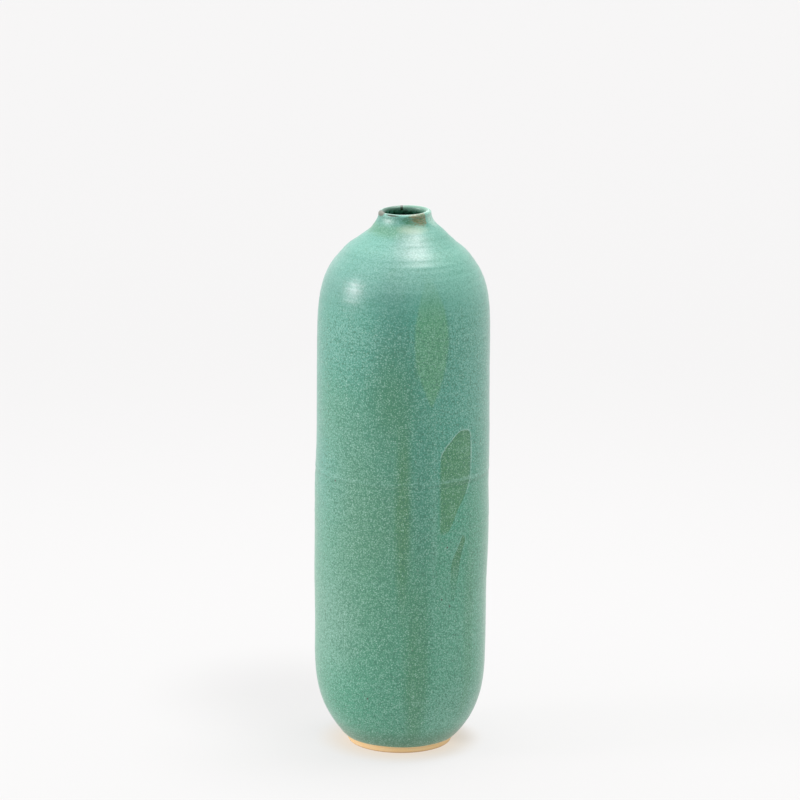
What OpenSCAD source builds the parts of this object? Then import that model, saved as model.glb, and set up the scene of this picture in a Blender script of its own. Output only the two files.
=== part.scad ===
// Tall bottle vase in glazed stoneware, built as the potter builds it: a thrown lower section
// and a thrown upper section joined with slip at mid height, a neck thrown from an added coil,
// a poured glaze liner inside and two glaze coats outside. The second coat has bare windows.
// Millimetres, +Z up, origin at the centre of the foot, on the surface that the vase stands on.

/* [Body] */
// Height from the table to the top of the lip
vase_h = 352; // [345:1:360]
// Outer radius of the straight wall, over the glaze
body_r = 55.6; // [53:0.1:57]
// Height at which the rounded base has become the straight wall
belly_h = 72; // [66:1:80]
// How far the rounded base would draw in at table height
belly_drop = 24.2; // [22:0.2:26]
// How sharply the base draws in: 2 is a parabola, more is a tighter turn
belly_power = 3.35; // [3:0.05:4]
// Height of the slight swelling below the mid joint
swell_z = 150; // [140:1:165]
// How far the swelling stands out
swell_rise = 0.8; // [0:0.02:1.2]
// Half length of the swelling along the wall
swell_len = 46; // [30:1:55]

/* [Foot] */
// Outer radius of the ring that touches the table
foot_r = 33.6; // [31.5:0.1:34.5]
// Inner radius of the ring that touches the table
foot_inner_r = 27.6; // [24:0.1:29.5]
// Depth of the trimmed recess inside the foot ring
foot_recess = 2.6; // [1.5:0.1:3.5]
// Height at which the glaze stops and the clay is left bare
glaze_line_z = 4.8; // [4.2:0.1:6]

/* [Shoulder and neck] */
// Height at which the wall starts to turn in
shoulder_z = 267; // [262:1:272]
// Radius at which the shoulder stops bulging and starts to flare into the neck
turn_r = 39.2; // [37.5:0.1:40.5]
// Height of that point
turn_z = 326; // [324:0.1:328]
// Lean of the shoulder at that point, from upright
turn_deg = 41.8; // [38:0.1:45]
// Outer radius of the mouth, over the glaze
mouth_r = 17; // [16:0.5:18]
// Radius of the hole that flowers go through, over the glaze
hole_r = 13; // [12:0.5:14]
// Length of the straight part of that hole
throat_len = 10; // [8:0.5:11]

/* [Clay and glaze thickness] */
// Clay wall low in the vase
wall_low = 6; // [5:0.1:7]
// Clay wall at the shoulder
wall_high = 4.5; // [4:0.1:5]
// Clay floor over the recess
floor_t = 7; // [5:0.5:9]
// First outer glaze coat
base_coat_t = 0.5; // [0.4:0.05:0.6]
// Second outer glaze coat
top_coat_t = 0.5; // [0.4:0.05:0.6]
// Glaze poured inside
liner_t = 0.5; // [0.4:0.05:0.6]

/* [Joints] */
// Height of the joint between the two thrown sections
seam_z = 184; // [175:1:195]
// Height of the joint between the shoulder and the neck coil
neck_seam_z = 334; // [332:0.5:336]
// Thickness of the slip in each joint
slip_t = 0.8; // [0.5:0.1:1.2]
// Depth of the groove scored round each rim
groove_d = 1.5; // [1:0.1:2]
// Half width of that groove
groove_w = 1.2; // [0.8:0.1:1.5]

/* [Hidden] */
$fn = 96;

CLAY = [0.80, 0.68, 0.50];
SLIP = [0.72, 0.60, 0.44];
LINER = [0.34, 0.50, 0.42];
OLIVE = [0.36, 0.52, 0.40];
GREEN = [0.40, 0.63, 0.54];

// The lip is a half round between the hole and the outside of the mouth.
lip_r = (mouth_r - hole_r) / 2;
lip_mid_r = (mouth_r + hole_r) / 2;
lip_z = vase_h - lip_r;
throat_z = lip_z - throat_len;
throat_r = hole_r + liner_t;

belly_steps = 12;
wall_steps = 10;
curve_steps = 9;
lip_steps = 8;

turn_pull = 19.1;     // shoulder curve's handle before the turn point
shoulder_pull = 36;   // shoulder curve's handle up the straight wall
flare_pull = 3.7;     // neck curve's handle after the turn point
neck_pull = 8.5;      // neck curve's handle below the lip
throat_pull = 7;      // both handles of the curve from the shoulder into the throat
coat_fade = 8;        // the second coat thins to nothing over this height below the lip
far = body_r + 20;    // beyond everything, for the cutting bands

// ---- outline helpers: a point is [radius, height] ----

function mix3(a, b, c, d, t) =
    pow(1 - t, 3) * a + 3 * pow(1 - t, 2) * t * b + 3 * (1 - t) * pow(t, 2) * c + pow(t, 3) * d;

function curve(a, b, c, d, steps) = [for (i = [1:steps]) mix3(a, b, c, d, i / steps)];

function reversed(points) = [for (i = [len(points) - 1:-1:0]) points[i]];

// Unit vector square to the outline at point i, to the left of its direction.
function left_of(points, i) =
    let (
        before = points[max(i - 1, 0)],
        after = points[min(i + 1, len(points) - 1)],
        way = after - before
    ) [-way[1], way[0]] / norm(way);

function wall_r(z) =
    body_r
    - belly_drop * pow(max(0, 1 - z / belly_h), belly_power)
    + swell_rise * exp(-pow((z - swell_z) / swell_len, 2));

// ---- outlines, from the outside in ----

turn = [turn_r, turn_z];
turn_way = [-sin(turn_deg), cos(turn_deg)];

skin = concat(
    [for (i = [0:belly_steps]) let (z = glaze_line_z + (belly_h - glaze_line_z) * i / belly_steps)
        [wall_r(z), z]],
    [for (i = [1:wall_steps]) let (z = belly_h + (shoulder_z - belly_h) * i / wall_steps)
        [wall_r(z), z]],
    curve([body_r, shoulder_z], [body_r, shoulder_z + shoulder_pull],
        turn - turn_pull * turn_way, turn, curve_steps),
    curve(turn, turn + flare_pull * turn_way,
        [mouth_r, lip_z - neck_pull], [mouth_r, lip_z], curve_steps),
    [for (i = [1:lip_steps]) let (a = 180 * i / lip_steps)
        [lip_mid_r + lip_r * cos(a), lip_z + lip_r * sin(a)]]
);
last = len(skin) - 1;
lip_start = last - lip_steps;

// The second coat is full up to the neck and gone at the start of the lip.
function coat_at(i) =
    i >= lip_start ? 0 : top_coat_t * min(1, (lip_z - skin[i][1]) / coat_fade);

coat_line = [for (i = [0:last]) skin[i] + coat_at(i) * left_of(skin, i)];
clay_line = concat(
    [for (i = [0:last - 1]) coat_line[i] + base_coat_t * left_of(coat_line, i)],
    [[throat_r, lip_z]]
);

// Inside of the clay: a bowl from the floor, the wall, the shoulder, then the throat.
bowl_z = foot_recess + floor_t;
bowl_flat_r = 18;
bowl_top_z = 66;
bowl_top_r = wall_r(bowl_top_z) - top_coat_t - base_coat_t - wall_low;

function wall_t(z) = lookup(z, [[bowl_top_z, wall_low], [seam_z, 5], [shoulder_z, wall_high]]);

inside_wall = [
    for (i = [0:last])
        if (skin[i][1] > bowl_top_z + 4 && skin[i][1] < turn_z + 1 && i < lip_start)
            clay_line[i] + wall_t(skin[i][1]) * left_of(clay_line, i)
];
inside_top = inside_wall[len(inside_wall) - 1];

inside_clay = concat(
    [[0, bowl_z], [bowl_flat_r, bowl_z]],
    curve([bowl_flat_r, bowl_z], [bowl_top_r - 12, bowl_z],
        [bowl_top_r, bowl_z + 18], [bowl_top_r, bowl_top_z], curve_steps),
    inside_wall,
    curve(inside_top, inside_top + throat_pull * turn_way,
        [throat_r, throat_z - throat_pull], [throat_r, throat_z], curve_steps)
);

// The liner follows the clay, and its throat is one true cylinder up to the lip.
inside_last = len(inside_clay) - 1;
inside_glaze = concat(
    [[0, bowl_z + liner_t]],
    [for (i = [1:inside_last - 1]) inside_clay[i] + liner_t * left_of(inside_clay, i)],
    [[hole_r, throat_z], [hole_r, lip_z]]
);

// Bare foot, from the recess out to the edge of the glaze.
foot_edge = 0.6;
recess_lean = 1.5;
foot_line = [
    [0, foot_recess],
    [foot_inner_r - recess_lean, foot_recess],
    [foot_inner_r, 0],
    [foot_r - foot_edge, 0],
    [foot_r, foot_edge],
];

// ---- whole layers, before they are parted at the joints ----

module clay_wall() {
    rotate_extrude() polygon(concat(foot_line, clay_line, reversed(inside_clay)));
}

// Rim outline with the scored groove round the middle of the wall.
function rim(z, mid_r) = [
    [0, z], [mid_r - groove_w, z], [mid_r, z - groove_d], [mid_r + groove_w, z], [far, z],
];

seam_mid_r = wall_r(seam_z) - top_coat_t - base_coat_t - wall_t(seam_z) / 2;
neck_mid_r = mouth_r + 5;

// Everything between two rims.
module band(low, high) {
    rotate_extrude() polygon(concat(low, reversed(high)));
}

floor_rim = [[0, -1], [far, -1]];
top_rim = [[0, vase_h + 1], [far, vase_h + 1]];
half_slip = slip_t / 2;

// Bare windows of the second coat, as [degrees round from the front, height].
window = [
    [48.7, 217], [52, 214], [52.9, 186], [44.8, 170], [34.2, 153.5],
    [26.9, 152], [25, 199], [27.9, 204], [41, 215],
];
sliver = [[44.9, 148], [46.8, 144], [42, 131], [38.1, 104], [35.2, 102], [36.2, 129]];
cut_depth = 16;

// Cuts a window through the coat, square to the wall at its middle.
module window_cut(outline) {
    facing = (min([for (p = outline) p[0]]) + max([for (p = outline) p[0]])) / 2;
    rotate([0, 0, facing])
        translate([0, cut_depth / 2 - body_r, 0])
            rotate([90, 0, 0])
                linear_extrude(height = cut_depth)
                    polygon([for (p = outline) [body_r * sin(p[0] - facing), p[1]]]);
}

// ---- sub-parts ----

// Thrown lower section: floor, trimmed foot ring and wall up to the mid joint.
module base_section() {
    color(CLAY) intersection() {
        clay_wall();
        band(floor_rim, rim(seam_z - half_slip, seam_mid_r));
    }
}

// Slip that glues the two thrown sections.
module seam_slip() {
    color(SLIP) intersection() {
        clay_wall();
        band(rim(seam_z - half_slip, seam_mid_r), rim(seam_z + half_slip, seam_mid_r));
    }
}

// Thrown upper section: wall and rounded shoulder, up to the neck joint.
module upper_section() {
    color(CLAY) intersection() {
        clay_wall();
        band(rim(seam_z + half_slip, seam_mid_r), rim(neck_seam_z - half_slip, neck_mid_r));
    }
}

// Slip under the neck coil.
module neck_slip() {
    color(SLIP) intersection() {
        clay_wall();
        band(rim(neck_seam_z - half_slip, neck_mid_r), rim(neck_seam_z + half_slip, neck_mid_r));
    }
}

// Neck and lip, thrown from an added coil.
module neck_collar() {
    color(CLAY) intersection() {
        clay_wall();
        band(rim(neck_seam_z + half_slip, neck_mid_r), top_rim);
    }
}

// Glaze liner that makes the vase hold water.
module inner_glaze() {
    color(LINER) rotate_extrude()
        polygon(concat(inside_clay, [[throat_r, lip_z]], reversed(inside_glaze)));
}

// First outer coat, from the glaze line over the lip.
module glaze_base_coat() {
    color(OLIVE) rotate_extrude() polygon(concat(coat_line, reversed(clay_line)));
}

// Second outer coat, with the windows that it left bare.
module glaze_top_coat() {
    coat = [for (i = [0:lip_start]) skin[i]];
    under = [for (i = [0:lip_start - 1]) coat_line[i]];
    color(GREEN) difference() {
        rotate_extrude() polygon(concat(coat, reversed(under)));
        window_cut(window);
        window_cut(sliver);
    }
}

base_section();
seam_slip();
upper_section();
neck_slip();
neck_collar();
inner_glaze();
glaze_base_coat();
glaze_top_coat();
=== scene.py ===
"""Looks of the stoneware bottle vase. Shapes are worked out in millimetres and placed in metres.

Angles go round the vase in degrees: 0 faces the camera (-Y) and they grow towards +X.
"""
import math
from bisect import bisect_right
from functools import reduce

import bmesh
import bpy
from mathutils import Matrix, Vector, noise
from mathutils.geometry import delaunay_2d_cdt
from mathutils.kdtree import KDTree


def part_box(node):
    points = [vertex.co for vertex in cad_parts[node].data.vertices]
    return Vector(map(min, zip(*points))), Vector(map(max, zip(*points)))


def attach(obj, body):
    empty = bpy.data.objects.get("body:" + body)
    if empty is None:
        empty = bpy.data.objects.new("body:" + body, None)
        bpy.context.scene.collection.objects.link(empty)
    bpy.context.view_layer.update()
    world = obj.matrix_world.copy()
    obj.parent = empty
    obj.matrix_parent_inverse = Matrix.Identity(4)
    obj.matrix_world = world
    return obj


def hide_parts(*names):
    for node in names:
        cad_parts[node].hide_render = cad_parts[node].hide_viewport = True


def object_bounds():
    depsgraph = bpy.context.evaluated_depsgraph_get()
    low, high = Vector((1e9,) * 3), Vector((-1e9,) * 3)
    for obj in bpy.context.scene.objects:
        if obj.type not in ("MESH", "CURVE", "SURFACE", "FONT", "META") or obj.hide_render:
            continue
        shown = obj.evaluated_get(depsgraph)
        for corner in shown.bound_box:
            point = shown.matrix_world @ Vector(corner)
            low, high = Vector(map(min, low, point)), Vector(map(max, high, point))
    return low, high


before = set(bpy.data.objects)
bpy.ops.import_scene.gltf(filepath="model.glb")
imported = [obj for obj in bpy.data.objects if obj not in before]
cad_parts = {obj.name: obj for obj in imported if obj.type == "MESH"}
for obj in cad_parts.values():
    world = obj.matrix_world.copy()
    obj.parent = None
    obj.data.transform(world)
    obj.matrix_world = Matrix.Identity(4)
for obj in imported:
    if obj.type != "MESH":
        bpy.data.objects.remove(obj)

MM = 0.001
CAD_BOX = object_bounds()

# -------- dimensions, in millimetres

HEIGHT = CAD_BOX[1][2] / MM
BODY_R = 55.6
BELLY_H, BELLY_DROP, BELLY_POWER = 72.0, 24.2, 3.35
SWELL_Z, SWELL_RISE, SWELL_LEN = 150.0, 0.8, 46.0
FOOT_R, FOOT_INNER_R, FOOT_RECESS = 33.6, 27.6, 2.6
GLAZE_LINE_Z = 4.8
SHOULDER_Z, SHOULDER_PULL = 267.0, 36.0
TURN_R, TURN_Z, TURN_DEG, TURN_PULL = 39.2, 326.0, 41.8, 19.1
FLARE_PULL, NECK_PULL = 3.7, 8.5
MOUTH_R, HOLE_R, THROAT_LEN = 17.0, 13.0, 10.0
LIP_R = (MOUTH_R - HOLE_R) / 2
LIP_MID_R = (MOUTH_R + HOLE_R) / 2
LIP_Z = HEIGHT - LIP_R
THROAT_Z = LIP_Z - THROAT_LEN
BASE_COAT, TOP_COAT, LINER = 0.5, 0.5, 0.5
THROAT_R = HOLE_R + LINER
COAT_FADE = 8.0
FLOOR_THICK, WALL_THICK, SHOULDER_THINNER = 7.0, 6.0, 1.5
BOWL_FLAT_R, BOWL_Z, BOWL_PULL = 18.0, 66.0, (12.0, 18.0)
NECK_UNDER_PULL = 7.0
SLIP, GROOVE_D, GROOVE_W = 0.8, 1.5, 1.2
SEAM_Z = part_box("seam_slip")[1][2] / MM - SLIP / 2
NECK_SEAM_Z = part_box("neck_slip")[1][2] / MM - SLIP / 2

# Mesh spacing: columns round the vase, steps of the lip's arc, and gaps between rows.
COLUMNS = 144
LIP_STEPS = 18
FINE, MEDIUM, COARSE = 0.8, 1.6, 5.0
SHARP_DEG = 40.0
ON_AXIS = 1e-6


# -------- small maths

def smooth(low, high, value):
    """0 below low, 1 above high, and a smooth step between."""
    t = min(1.0, max(0.0, (value - low) / (high - low)))
    return t * t * (3 - 2 * t)


def bump(value, centre, half):
    """Bell curve of height 1."""
    return math.exp(-((value - centre) / half) ** 2)


def bezier(a, b, c, d, steps):
    """Points after a, up to d, of a cubic curve."""
    points = []
    for i in range(1, steps + 1):
        t = i / steps
        weights = ((1 - t) ** 3, 3 * (1 - t) ** 2 * t, 3 * (1 - t) * t * t, t ** 3)
        points.append(tuple(sum(w * p[k] for w, p in zip(weights, (a, b, c, d))) for k in (0, 1)))
    return points


def with_normals(points):
    """(r, z, nr, nz): an outline's points, each with its unit normal, outwards if drawn upwards."""
    result = []
    for i, (r, z) in enumerate(points):
        before = points[max(i - 1, 0)]
        after = points[min(i + 1, len(points) - 1)]
        dr, dz = after[0] - before[0], after[1] - before[1]
        length = math.hypot(dr, dz) or 1.0
        result.append((r, z, dz / length, -dr / length))
    return result


def resample(points, step):
    """The same outline with its points about step apart."""
    lengths = [0.0]
    for a, b in zip(points, points[1:]):
        lengths.append(lengths[-1] + math.hypot(b[0] - a[0], b[1] - a[1]))
    count = max(2, round(lengths[-1] / step))
    result, i = [], 0
    for k in range(count + 1):
        want = lengths[-1] * k / count
        while i < len(points) - 2 and lengths[i + 1] < want:
            i += 1
        span = lengths[i + 1] - lengths[i] or 1.0
        t = min(1.0, (want - lengths[i]) / span)
        a, b = points[i], points[i + 1]
        result.append((a[0] + t * (b[0] - a[0]), a[1] + t * (b[1] - a[1])))
    return result


# -------- outlines, [radius, height]

def wall_radius(z):
    """Glaze surface below the shoulder: a curved belly, and a slight swell at half height."""
    inward = BELLY_DROP * max(0.0, 1 - z / BELLY_H) ** BELLY_POWER
    return BODY_R - inward + SWELL_RISE * bump(z, SWELL_Z, SWELL_LEN)


def turn_way():
    """Direction of the outline where the shoulder turns into the neck."""
    lean = math.radians(TURN_DEG)
    return (-math.sin(lean), math.cos(lean))


def outer_skin():
    """Glaze surface, from the glaze line up to the outside of the lip."""
    points = []
    z = GLAZE_LINE_Z
    while z < SHOULDER_Z:
        points.append((wall_radius(z), z))
        z += FINE / 2
    way = turn_way()
    turn = (TURN_R, TURN_Z)
    shoulder = (BODY_R, SHOULDER_Z)
    points.append(shoulder)
    points += bezier(shoulder, (BODY_R, SHOULDER_Z + SHOULDER_PULL),
                     (turn[0] - TURN_PULL * way[0], turn[1] - TURN_PULL * way[1]), turn, 120)
    points += bezier(turn, (turn[0] + FLARE_PULL * way[0], turn[1] + FLARE_PULL * way[1]),
                     (MOUTH_R, LIP_Z - NECK_PULL), (MOUTH_R, LIP_Z), 90)
    return points


def inset(points, thickness):
    """The outline moved in by thickness, a number or a function of height."""
    moved = []
    for r, z, nr, nz in with_normals(points):
        t = thickness(z) if callable(thickness) else thickness
        moved.append((r - t * nr, z - t * nz))
    return moved


def top_coat_at(z):
    """The second coat thins out under the lip."""
    return TOP_COAT * min(1.0, max(0.0, (LIP_Z - z) / COAT_FADE))


def lip_arc(radius, start, end, steps):
    """Half round of the lip. 0 degrees is the outside of the mouth and 180 the hole."""
    points = []
    for i in range(steps + 1):
        a = math.radians(start + (end - start) * i / steps)
        points.append((LIP_MID_R + radius * math.cos(a), LIP_Z + radius * math.sin(a)))
    return points


SKIN = outer_skin()
BASE_LINE = inset(SKIN, top_coat_at)
CLAY_LINE = inset(BASE_LINE, BASE_COAT)


def inner_wall():
    """Inside of the clay, from the middle of the floor to the lip."""
    floor_z = FOOT_RECESS + FLOOR_THICK
    bowl_r = wall_radius(BOWL_Z) - TOP_COAT - BASE_COAT - WALL_THICK
    points = [(0.0, floor_z), (BOWL_FLAT_R, floor_z)]
    points += bezier((BOWL_FLAT_R, floor_z), (bowl_r - BOWL_PULL[0], floor_z),
                     (bowl_r, floor_z + BOWL_PULL[1]), (bowl_r, BOWL_Z), 24)
    wall = inset(CLAY_LINE, lambda z: WALL_THICK - SHOULDER_THINNER * smooth(BOWL_Z, SHOULDER_Z, z))
    points += [p for p, s in zip(wall, SKIN) if BOWL_Z + 4 < s[1] < TURN_Z]
    way, last, pull = turn_way(), points[-1], NECK_UNDER_PULL
    points += bezier(last, (last[0] + pull * way[0], last[1] + pull * way[1]),
                     (THROAT_R, THROAT_Z - pull), (THROAT_R, THROAT_Z), 24)
    return points + [(THROAT_R, LIP_Z)]


INNER_CLAY = inner_wall()
INNER_WALL = INNER_CLAY[20:]    # without the floor


# -------- the potter's hand

# Sideways drift of the wall's centre: height, half length, and shift to the right.
DRIFTS = [
    (14, 9, 0.3), (57, 20, -0.25), (105, 22, -0.4), (175, 14, -0.25), (206, 24, 0.3),
    (329, 3.2, -0.75), (331, 8, 0.5), (338.5, 3.6, 0.85),
]
# Rings in the wall: height, half length, and rise.
RINGS = [
    (SEAM_Z + 0.6, 1.1, 0.17), (SEAM_Z - 2.0, 1.4, -0.11), (SEAM_Z + 8.5, 1.0, 0.07),
    (153.5, 1.0, 0.10), (151.5, 1.1, -0.07), (310.0, 1.5, -0.05), (316.5, 1.4, -0.07),
]
# Finger marks on the shoulder, deepest right of the front.
FINGER_MARKS = [
    (326.0, 2.1, -0.34), (330.9, 1.2, 0.10), (333.9, 0.9, 0.08), (338.8, 1.4, -0.13),
]
# Mean level of the relief: low enough that its peaks stay inside the CAD box.
RELIEF_LEVEL = -0.21


def angle_x(angle):
    """Share of a radius that points right, at an angle round the vase."""
    return math.sin(math.radians(angle))


def angle_y(angle):
    """Share of a radius that points back."""
    return -math.cos(math.radians(angle))


def around(angle, spread, z, pitch):
    """Noise that runs round the vase in rings: slow in angle, quick in height."""
    a = math.radians(angle)
    return noise.noise(Vector((spread * math.cos(a), spread * math.sin(a), z / pitch)))


def relief(angle, z):
    """How far the surface stands out, from throwing rings, pressure of the hand and glaze."""
    shoulder = smooth(262, 310, z)
    neck = smooth(336, 346, z)
    rings = (0.050 + 0.045 * shoulder) * around(angle, 0.35, z, 2.1)
    rings += (0.060 + 0.055 * shoulder) * around(angle, 0.5, z + 400, 6.5)
    soft = 0.16 * around(angle, 1.1, z + 900, 42.0)
    soft += 0.07 * noise.noise(Vector((angle_x(angle) * 2.6, angle_y(angle) * 2.6, z / 14 + 70)))
    made = sum(rise * bump(z, at, half) * (1 + 0.5 * around(angle, 0.8, at, 3.0))
               for at, half, rise in RINGS)
    pressed = 0.25 + 0.75 * bump(angle, 14, 34)
    made += pressed * sum(rise * bump(z, at, half) for at, half, rise in FINGER_MARKS)
    return (RELIEF_LEVEL + rings + soft + made) * (1 - 0.45 * neck)


def lip_drop(angle):
    """The lip isn't level: it lies a little higher on the right."""
    wave = 0.10 * bump(angle, 20, 26) + 0.15 * bump(angle, -64, 18)
    wander = 0.10 * around(angle, 0.9, 12.0, 1.0)
    return 0.75 - 0.12 * angle_y(angle) - 0.42 * angle_x(angle) + wave + wander


def thrown(angle, r, z):
    """Millimetre point of the round design, moved as the potter's hand left it."""
    drift = sum(shift * bump(z, at, half) for at, half, shift in DRIFTS)
    top = smooth(NECK_SEAM_Z, LIP_Z - 1, z)
    x = r * angle_x(angle) + drift
    y = r * angle_y(angle)
    return (x, y, z - lip_drop(angle) * top)


def glaze_waver(angle):
    """How far the lower edge of the glaze wanders along the wall."""
    return 0.55 * around(angle, 1.4, 31.0, 1.0) + 0.18 * around(angle, 5.0, 77.0, 1.0)


def coated(angle, r, z, nr, nz, amount, extra):
    """Point of a layer, (r, z) moved along its normal (nr, nz).

    amount is the layer's share of the relief, and extra lifts it further.
    """
    out = amount * relief(angle, z) + extra
    slide = amount * glaze_waver(angle) * (1 - smooth(GLAZE_LINE_Z, GLAZE_LINE_Z + 6, z))
    return thrown(angle, r + nr * out - nz * slide, z + nz * out + nr * slide)


# -------- meshes

def add_mesh(name, points, faces, pale):
    """A smooth-shaded object from millimetre points. pale marks each point, 1 on a pale edge."""
    mesh = bpy.data.meshes.new(name)
    mesh.from_pydata([tuple(c * MM for c in p) for p in points], [], faces)
    mesh.validate()
    mesh.update()
    mesh.attributes.new("pale", "FLOAT", "POINT").data.foreach_set("value", pale)
    mesh.shade_smooth()
    mesh.set_sharp_from_angle(angle=math.radians(SHARP_DEG))
    obj = bpy.data.objects.new(name, mesh)
    bpy.context.scene.collection.objects.link(obj)
    return obj


def ring_angles():
    """Column angles from the back, round by the front, to the back."""
    return [-180 + 360 * i / COLUMNS for i in range(COLUMNS)]


def lathe(name, rows):
    """Turns a closed outline. A row is (r, z, nr, nz, amount of relief, pale mark)."""
    points, pale, starts = [], [], []
    for r, z, nr, nz, amount, mark in rows:
        starts.append(len(points))
        for angle in ([0.0] if r < ON_AXIS else ring_angles()):
            points.append(coated(angle, r, z, nr, nz, amount, 0.0))
            pale.append(mark)
    faces = []
    for i in range(len(rows)):
        j = (i + 1) % len(rows)
        single_i, single_j = rows[i][0] < ON_AXIS, rows[j][0] < ON_AXIS
        if single_i and single_j:
            continue
        for k in range(COLUMNS):
            m = (k + 1) % COLUMNS
            a, b = starts[i] + k, starts[i] + m
            c, d = starts[j] + m, starts[j] + k
            if single_i:
                faces.append((starts[i], c, d))
            elif single_j:
                faces.append((a, b, starts[j]))
            else:
                faces.append((a, b, c, d))
    return add_mesh(name, points, faces, pale)


def as_rows(points, amount=0.0, inward=False):
    """Rows for lathe() from an outline. inward is for one that is drawn downwards."""
    sign = -1 if inward else 1
    return [(r, z, sign * nr, sign * nz, amount, 0.0) for r, z, nr, nz in with_normals(points)]


def between(points, low, high):
    """The outline's points between two heights."""
    return [p for p in points if low < p[1] < high]


def at_height(points, z):
    """Point of an upward outline at that height."""
    for a, b in zip(points, points[1:]):
        if a[1] <= z <= b[1] or b[1] <= z <= a[1]:
            t = (z - a[1]) / ((b[1] - a[1]) or 1.0)
            return (a[0] + t * (b[0] - a[0]), z)
    return points[-1]


def rim(z):
    """Scored groove across a rim, from the inside of the wall to the outside."""
    inner, outer = at_height(INNER_WALL, z), at_height(CLAY_LINE, z)
    middle = (inner[0] + outer[0]) / 2
    return [inner, (middle - GROOVE_W, z), (middle, z - GROOVE_D), (middle + GROOVE_W, z), outer]


# -------- clay and slip

def stretch(line, low, high):
    """Part of an outline between the rims at two heights. None stands for no rim."""
    ends = [[] if z is None else [at_height(line, z)] for z in (low, high)]
    middle = between(line, -1.0 if low is None else low, HEIGHT if high is None else high)
    return resample(ends[0] + middle + ends[1], COARSE / 2)


def clay_rows(low, high):
    """Outside of the wall between two rims, drawn upwards, and its inside, drawn downwards."""
    return stretch(CLAY_LINE, low, high), stretch(INNER_CLAY, low, high)[::-1]


def foot_outline():
    """Trimmed foot: the recess out to the ring, and the ring's rounded outer corner."""
    edge = 1.1
    turns = [math.radians(a) for a in range(0, 71, 10)]
    corner = [(FOOT_R - edge + edge * math.sin(t), edge - edge * math.cos(t)) for t in turns]
    recess = [(0.0, FOOT_RECESS), (FOOT_INNER_R - 2.6, FOOT_RECESS), (FOOT_INNER_R - 1.2, 2.0),
              (FOOT_INNER_R - 0.2, 0.35), (FOOT_INNER_R + 0.7, 0.0)]
    return recess, corner


def trimming(r, z, angle):
    """Fine spiral that the trimming tool left on the foot."""
    turn = angle / 360
    return 0.05 * math.sin(2 * math.pi * (r / 1.3 + turn)) + 0.05 * around(angle, 6.0, r + z, 1.2)


def thrown_base():
    """Lower section, with the trimmed foot."""
    outside, inside = clay_rows(None, SEAM_Z - SLIP / 2)
    recess, corner = foot_outline()
    bevel = [corner[-1], outside[0]]
    foot = resample(recess, 0.6) + corner + resample(bevel, 0.4)[1:-1]
    seam = rim(SEAM_Z - SLIP / 2)[::-1]
    rows = as_rows(foot) + as_rows(outside) + as_rows(seam[1:-1]) + as_rows(inside, inward=True)
    obj = lathe("thrown_base", rows)
    for vertex in obj.data.vertices:
        x, y, z = (c / MM for c in vertex.co)
        r = math.hypot(x, y)
        off_ground, below_glaze = z > 0.02, z < GLAZE_LINE_Z + 0.5
        if off_ground and below_glaze and 0.5 < r < 36:
            push = trimming(r, z, math.degrees(math.atan2(x, -y)))
            vertex.co.z = max(0.0, z + 0.6 * push) * MM
    return obj


def thrown_upper():
    """Upper section, from the seam to the neck's joint."""
    outside, inside = clay_rows(SEAM_Z + SLIP / 2, NECK_SEAM_Z - SLIP / 2)
    low, high = rim(SEAM_Z + SLIP / 2), rim(NECK_SEAM_Z - SLIP / 2)[::-1]
    rows = (as_rows(low[1:-1]) + as_rows(outside) + as_rows(high[1:-1])
            + as_rows(inside, inward=True))
    return lathe("thrown_upper", rows)


def neck_and_lip():
    """Neck and lip, thrown from an added coil."""
    outside, inside = clay_rows(NECK_SEAM_Z + SLIP / 2, None)
    low = rim(NECK_SEAM_Z + SLIP / 2)
    arc = lip_arc(LIP_R - BASE_COAT, 10, 170, 10)
    rows = as_rows(low[1:-1]) + as_rows(outside) + as_rows(arc) + as_rows(inside, inward=True)
    return lathe("neck_and_lip", rows)


def slip_ring(name, z):
    """Slip that fills a scored joint."""
    low, high = rim(z - SLIP / 2), rim(z + SLIP / 2)[::-1]
    return lathe(name, as_rows(low) + as_rows(high))


# -------- glaze coats

def liner_coat():
    """Poured liner, from the middle of the floor to the inside of the lip."""
    under = resample(INNER_CLAY[:-1], MEDIUM)
    over = []
    for r, z, nr, nz in with_normals(under):
        least_r = HOLE_R if z > HEIGHT / 2 else 0.0
        over.append((max(least_r, r - LINER * nr), z - LINER * nz))
    over[0] = (0.0, under[0][1] + LINER)
    rows = as_rows(under) + as_rows([(THROAT_R, LIP_Z), (HOLE_R, LIP_Z)])
    rows += as_rows(over[::-1], inward=True)
    return lathe("liner_glaze", rows)


def base_coat():
    """First coat: over the wall, round the lip, down to the hole."""
    wall = resample(BASE_LINE, FINE * 1.3)
    arc = lip_arc(LIP_R, 0, 180, LIP_STEPS)[1:]
    rows = as_rows(wall, 1.0)
    for i, (r, z, nr, nz) in enumerate(with_normals(arc)):
        rows.append((r, z, nr, nz, 0.4, bump(180 * (i + 1) / LIP_STEPS, 92, 22)))
    under = [(THROAT_R, LIP_Z)] + lip_arc(LIP_R - BASE_COAT, 170, 10, 8)
    under += resample(CLAY_LINE, COARSE)[::-1]
    rows += as_rows(under, inward=True)
    return lathe("olive_coat", rows)


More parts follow.
